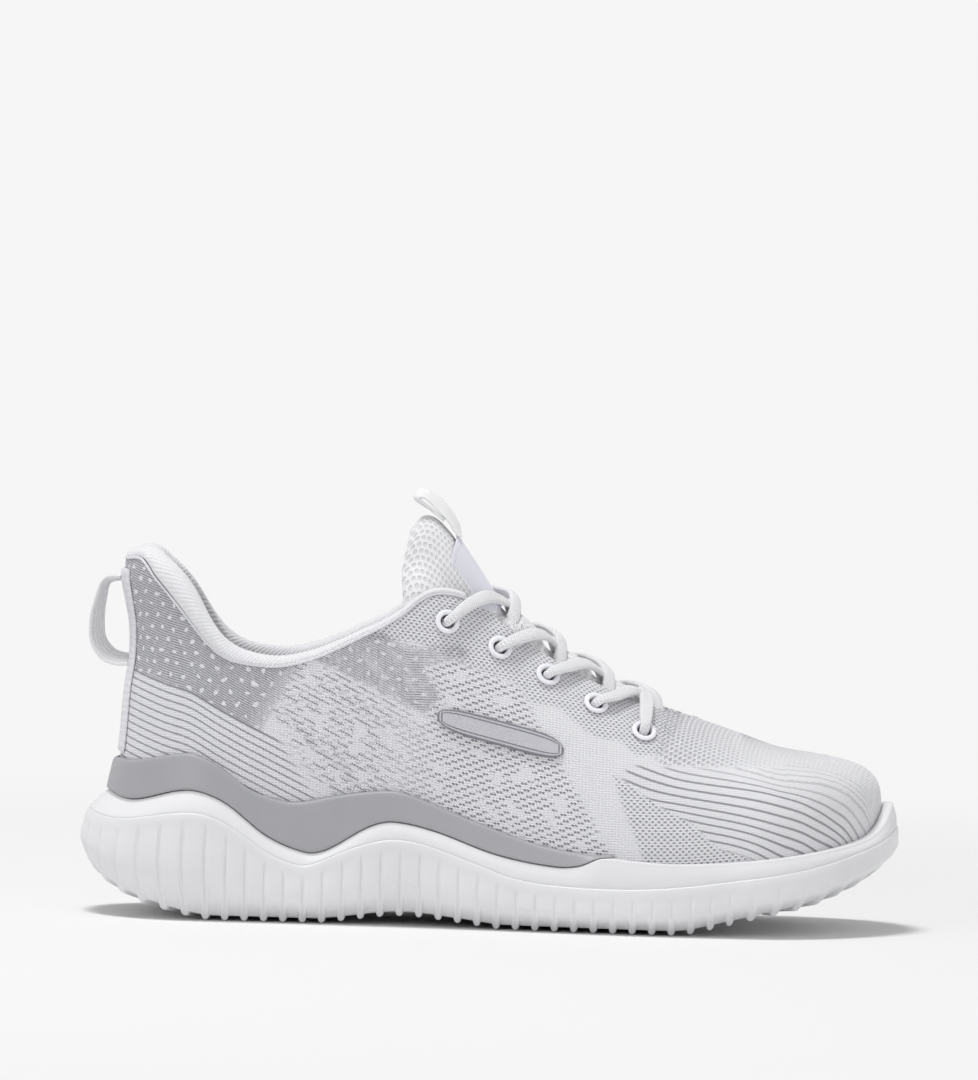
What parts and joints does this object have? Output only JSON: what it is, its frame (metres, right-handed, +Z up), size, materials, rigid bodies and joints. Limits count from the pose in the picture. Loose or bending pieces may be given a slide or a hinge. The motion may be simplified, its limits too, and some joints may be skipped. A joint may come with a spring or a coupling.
{
  "type": "running shoe",
  "caption": "Low-cut right-foot knit running shoe with laced throat, padded collar, pull loops, removable sockliner and a curved ribbed sole unit.",
  "frame": {"origin": "on the ground, under the centre of the shoe's bounding box (the sole unit reaches every side of it)", "axes": "+X from heel to toe, +Y to the medial (big toe) side, +Z up from the ground"},
  "size_m": [0.2796, 0.1049, 0.1498],
  "materials": {
    "outsole_rubber": "white, slightly translucent moulded rubber, satin",
    "midsole_foam": "white moulded foam, matte skin",
    "wave_trim": "mid-grey moulded trim, matte",
    "board": "off-white needled board",
    "padding_foam": "cream open-cell foam",
    "lining_cloth": "white brushed lining mesh",
    "knit": "white engineered knit with grey yarn pattern",
    "stiffener": "thin thermoplastic sheet",
    "webbing": "ribbed white webbing",
    "emblem_film": "silver-grey bonded film with a dark edge",
    "badge_film": "smooth pale lavender-grey film",
    "lace": "soft white flat-oval braid",
    "lace_tip": "clear-white plastic sleeve",
    "eyelet_plastic": "white plastic ring"
  },
  "bodies": {
    "shoe": {"outsole": "outsole_rubber", "midsole": "midsole_foam", "side_wave": "wave_trim", "strobel_board": "board", "knit_upper": "knit", "heel_counter": "stiffener", "toe_puff": "stiffener", "eyestay_tape_lateral": "stiffener", "eyestay_tape_medial": "stiffener", "collar_lining": "lining_cloth", "collar_foam": "padding_foam", "heel_tape": "webbing", "emblem_lateral": "emblem_film", "emblem_medial": "emblem_film", "shoelace": "lace", "lace_tip_a": "lace_tip", "lace_tip_b": "lace_tip", "eyelet_lateral_1": "eyelet_plastic", "eyelet_lateral_2": "eyelet_plastic", "eyelet_lateral_3": "eyelet_plastic", "eyelet_lateral_4": "eyelet_plastic", "eyelet_lateral_5": "eyelet_plastic", "eyelet_medial_1": "eyelet_plastic", "eyelet_medial_2": "eyelet_plastic", "eyelet_medial_3": "eyelet_plastic", "eyelet_medial_4": "eyelet_plastic", "eyelet_medial_5": "eyelet_plastic"},
    "tongue": {"tongue_mesh": "knit", "tongue_foam": "padding_foam", "tongue_lining": "lining_cloth", "tongue_badge": "badge_film"},
    "tongue_loop": {"tongue_pull_loop": "webbing"},
    "heel_loop": {"heel_pull_loop": "webbing"},
    "sockliner": {"sockliner_foam": "padding_foam", "sockliner_cloth": "lining_cloth"}
  },
  "joints": [
    {"name": "tongue_tilt", "type": "hinge", "parent": "shoe", "child": "tongue", "pos_m": [0.08, 0.0005, 0.0605], "axis": [0, 1, 0], "range_deg": [-12, 0], "stiffness_Nm_per_rad": 0.2, "springref_deg": 3.44},
    {"name": "tongue_loop_swing", "type": "hinge", "parent": "tongue", "child": "tongue_loop", "pos_m": [-0.0122, -0.0035, 0.1318], "axis": [0, 1, 0], "range_deg": [0, 75], "stiffness_Nm_per_rad": 0.002, "springref_deg": -2.86},
    {"name": "heel_loop_swing", "type": "hinge", "parent": "shoe", "child": "heel_loop", "pos_m": [-0.1275, -0.0005, 0.0995], "axis": [0, 0, 1], "range_deg": [-12, 12], "stiffness_Nm_per_rad": 0.004},
    {"name": "sockliner_lift", "type": "hinge", "parent": "shoe", "child": "sockliner", "pos_m": [0.1265, 0.008, 0.0305], "axis": [0, 1, 0], "range_deg": [0, 4]}
  ]
}
